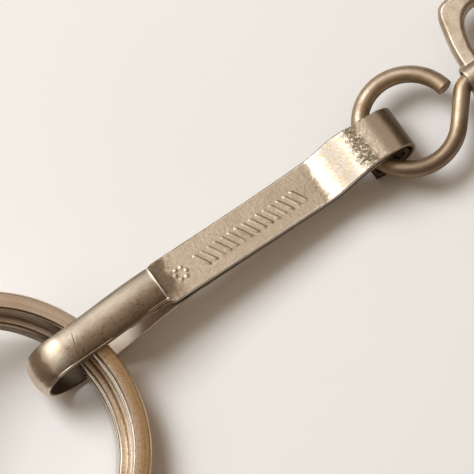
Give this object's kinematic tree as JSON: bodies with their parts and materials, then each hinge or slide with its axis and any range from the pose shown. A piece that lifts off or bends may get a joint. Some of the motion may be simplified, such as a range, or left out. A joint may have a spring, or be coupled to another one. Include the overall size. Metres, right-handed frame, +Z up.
{
  "type": "curb bit key fob",
  "caption": "Key fob with a miniature curb bit on a wire swivel eye, a spring hook of nested metal strips and a coiled split ring.",
  "frame": {"origin": "middle of the ground that the fob covers, on the ground", "axes": "+X from the split ring towards the curb bit, +Y across, +Z up"},
  "size_m": [0.1034, 0.0321, 0.0135],
  "materials": {
    "nickel_hook": "worn nickel plate",
    "nickel_gate": "worn nickel plate, stamped",
    "ring_plating": "nickel plate worn through to brass",
    "nickel_wire": "dull nickel plate",
    "cast_nickel": "cast, tumbled, dull nickel plate",
    "mouth_steel": "polished nickel plate",
    "nickel_concho": "polished nickel plate"
  },
  "bodies": {
    "hook": {"hook_body": "nickel_hook"},
    "gate": {"hook_gate": "nickel_gate"},
    "key_ring": {"split_ring": "ring_plating"},
    "eye": {"swivel_eye": "nickel_wire"},
    "bit": {"slobber_bar": "cast_nickel", "mouthpiece": "mouth_steel", "cheek_left": "cast_nickel", "cheek_right": "cast_nickel", "concho_left": "nickel_concho", "concho_right": "nickel_concho", "cheek_rivet_left": "nickel_wire", "cheek_rivet_right": "nickel_wire"},
    "rein_ring_left": {"rein_ring_left": "ring_plating"},
    "rein_ring_right": {"rein_ring_right": "ring_plating"}
  },
  "joints": [
    {"name": "gate_flex", "type": "hinge", "parent": "hook", "child": "gate", "pos_m": [0.00323, 0.00335, 0.00357], "axis": [0, 1, 0], "range_deg": [-1.6, 0], "stiffness_Nm_per_rad": 1.6},
    {"name": "ring_swing", "type": "hinge", "parent": "hook", "child": "key_ring", "pos_m": [-0.02432, 0.00295, 0.00348], "axis": [-0.2425, 0.9451, 0.2191], "range_deg": [-19, 95]},
    {"name": "eye_hinge", "type": "hinge", "parent": "hook", "child": "eye", "pos_m": [0.00978, 0.00335, 0.00322], "axis": [0, 1, 0], "range_deg": [-45, 90]},
    {"name": "bit_swivel", "type": "hinge", "parent": "eye", "child": "bit", "pos_m": [0.02155, 0.00335, 0.00322], "axis": [1, 0, 0], "continuous": true},
    {"name": "rein_ring_left_swing", "type": "hinge", "parent": "bit", "child": "rein_ring_left", "pos_m": [0.03235, 0.0123, 0.00537], "axis": [0, -1, 0], "range_deg": [0, 180]},
    {"name": "rein_ring_right_swing", "type": "hinge", "parent": "bit", "child": "rein_ring_right", "pos_m": [0.03235, -0.0056, 0.00537], "axis": [0, -1, 0], "range_deg": [0, 180]}
  ]
}
